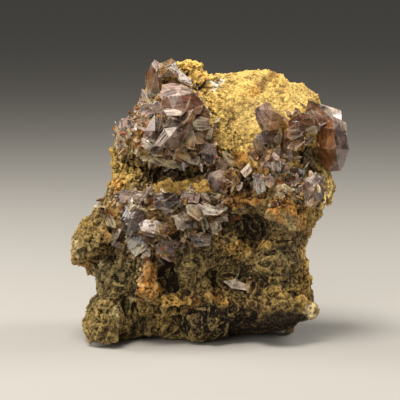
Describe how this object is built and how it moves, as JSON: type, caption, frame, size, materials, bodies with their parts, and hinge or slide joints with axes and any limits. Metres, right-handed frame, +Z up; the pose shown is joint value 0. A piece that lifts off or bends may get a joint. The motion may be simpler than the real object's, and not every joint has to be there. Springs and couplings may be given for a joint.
{
  "type": "axinite crystal specimen",
  "caption": "Violet-brown axe-head axinite crystals grown on a rugged lump of ochre and olive rock matrix.",
  "frame": {"origin": "centre of the bounding box on the plane that the rock rests on", "axes": "+Z up, +X to the right seen from the crystal-bearing front, +Y from the front into the rock"},
  "size_m": [0.0734, 0.046, 0.0742],
  "materials": {
    "matrix": "granular, matt, ochre to olive and umber",
    "axinite": "glassy, translucent violet-brown, striated faces with pale dusty edges"
  },
  "bodies": {
    "root": {"matrix_rock": "matrix", "axe_head": "axinite", "blue_grey_block": "axinite", "bright_chip": "axinite", "bright_flake": "axinite", "central_blade": "axinite", "chisel_prism": "axinite", "cream_plank": "axinite", "cream_wedge": "axinite", "crown_red_wedge": "axinite", "crown_spur": "axinite", "curved_blade_upper": "axinite", "dark_left_block": "axinite", "dark_shard": "axinite", "dark_violet_block": "axinite", "green_block": "axinite", "greenish_plate": "axinite", "grey_boss": "axinite", "grey_violet_blade": "axinite", "grey_violet_plate": "axinite", "hollow_rib": "axinite", "kite_wedge": "axinite", "left_rim_block": "axinite", "left_shoulder_plate": "axinite", "lilac_ledge_blade": "axinite", "lilac_lozenge": "axinite", "lilac_side_blade": "axinite", "olive_side_blade": "axinite", "pale_green_block": "axinite", "pale_rim_blade": "axinite", "pale_stripe": "axinite", "pink_wedge": "axinite", "red_brown_mass": "axinite", "red_brown_plate": "axinite", "rounded_violet_block": "axinite", "shadow_blade": "axinite", "short_pale_blade": "axinite", "side_shard": "axinite", "sparkling_pair": "axinite", "square_crystal": "axinite", "striated_plate": "axinite", "violet_white_knot": "axinite", "violet_white_plate": "axinite", "white_green_plate": "axinite"}
  },
  "joints": []
}
